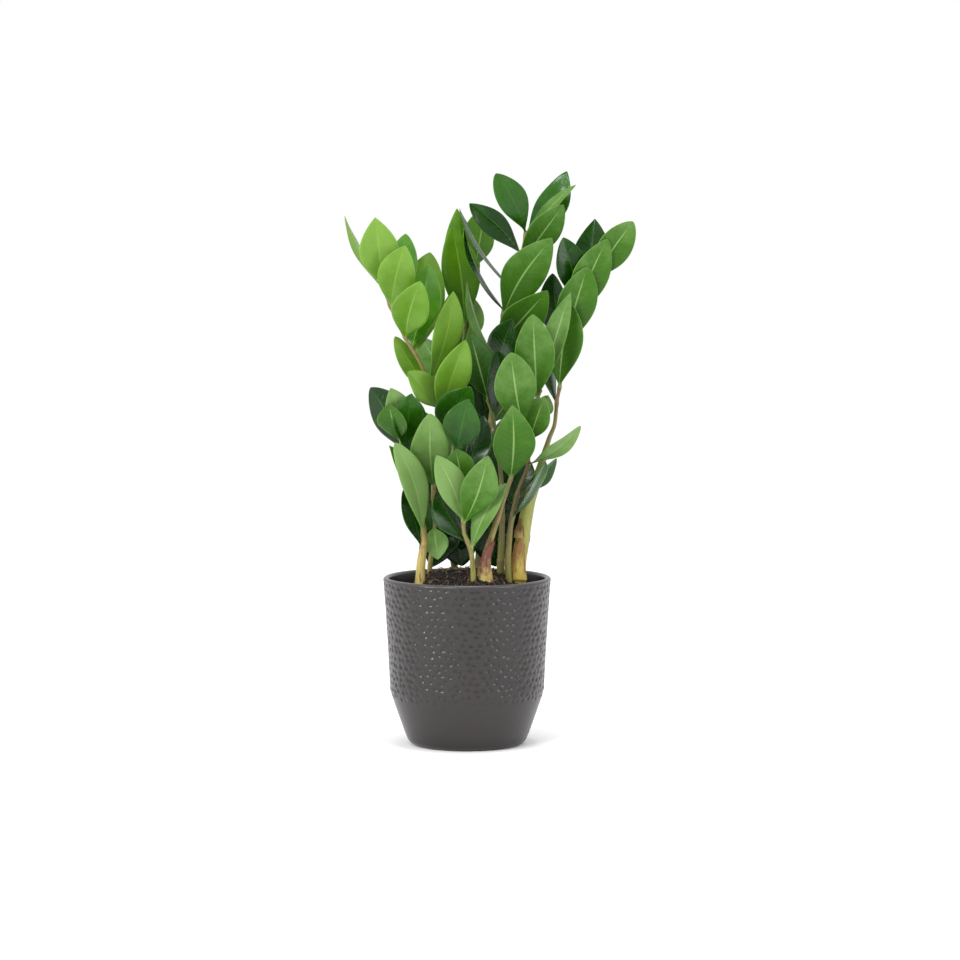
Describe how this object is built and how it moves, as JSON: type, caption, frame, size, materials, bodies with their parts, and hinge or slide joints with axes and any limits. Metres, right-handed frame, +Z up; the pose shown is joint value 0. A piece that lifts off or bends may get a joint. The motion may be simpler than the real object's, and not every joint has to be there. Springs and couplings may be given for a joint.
{
  "type": "potted zz plant",
  "caption": "Potted ZZ plant: arching stems with glossy paired leaflets, rooted in a nursery pot inside a hammered, tapered glazed cover pot.",
  "frame": {"origin": "centre of the cover pot's flat foot, on the surface that it stands on", "axes": "+Z up along the pot's axis; the front of the plant, the side with the short stem at the rim, faces -Y; +X is to the right seen from the front"},
  "size_m": [0.241, 0.1685, 0.4763],
  "materials": {
    "glazed_stoneware": "satin",
    "black_polypropylene": "matte",
    "compost": "matte",
    "green_stem": "satin",
    "young_leaf": "satin",
    "mature_leaf": "satin",
    "dark_leaf": "gloss",
    "dry_sheath": "matte"
  },
  "bodies": {
    "root": {"cover_pot": "glazed_stoneware", "nursery_pot": "black_polypropylene", "root_ball": "compost", "stem_front": "green_stem", "stem_sheathed": "green_stem", "stem_low_left": "green_stem", "stem_mid_right": "green_stem", "stem_inner": "green_stem", "stem_right": "green_stem", "stem_tall_left": "green_stem", "stem_crown": "green_stem", "stem_back": "green_stem", "sheath_brown": "dry_sheath", "sheath_right": "dry_sheath", "sheath_upper_right": "dry_sheath", "lime_leaflet_1": "young_leaf", "lime_leaflet_2": "young_leaf", "lime_leaflet_3": "young_leaf", "lime_leaflet_4": "young_leaf", "lime_leaflet_5": "young_leaf", "lime_leaflet_6": "young_leaf", "lime_leaflet_7": "young_leaf", "lime_leaflet_8": "young_leaf", "shade_leaflet_1": "dark_leaf", "sage_leaflet_1": "mature_leaf", "back_leaflet_1": "mature_leaf", "back_leaflet_2": "mature_leaf", "back_leaflet_3": "mature_leaf", "crown_leaflet_1": "dark_leaf", "crown_leaflet_2": "dark_leaf", "crown_leaflet_3": "dark_leaf", "crown_leaflet_4": "dark_leaf", "crown_leaflet_5": "dark_leaf", "crown_leaflet_6": "dark_leaf", "crown_leaflet_7": "dark_leaf", "crown_leaflet_8": "dark_leaf", "crown_leaflet_9": "dark_leaf", "crown_leaflet_10": "dark_leaf", "shade_leaflet_2": "dark_leaf", "shade_leaflet_3": "dark_leaf", "right_leaflet_1": "mature_leaf", "right_leaflet_2": "mature_leaf", "right_leaflet_3": "mature_leaf", "right_leaflet_4": "mature_leaf", "right_leaflet_5": "mature_leaf", "right_leaflet_6": "mature_leaf", "middle_leaflet_1": "mature_leaf", "middle_leaflet_2": "mature_leaf", "middle_leaflet_3": "mature_leaf", "middle_leaflet_4": "mature_leaf", "middle_leaflet_5": "mature_leaf", "middle_leaflet_6": "mature_leaf", "front_leaflet_1": "mature_leaf", "front_leaflet_2": "mature_leaf", "front_leaflet_3": "mature_leaf", "front_leaflet_4": "mature_leaf", "low_leaflet_1": "mature_leaf", "low_leaflet_2": "mature_leaf", "low_leaflet_3": "mature_leaf"}
  },
  "joints": []
}
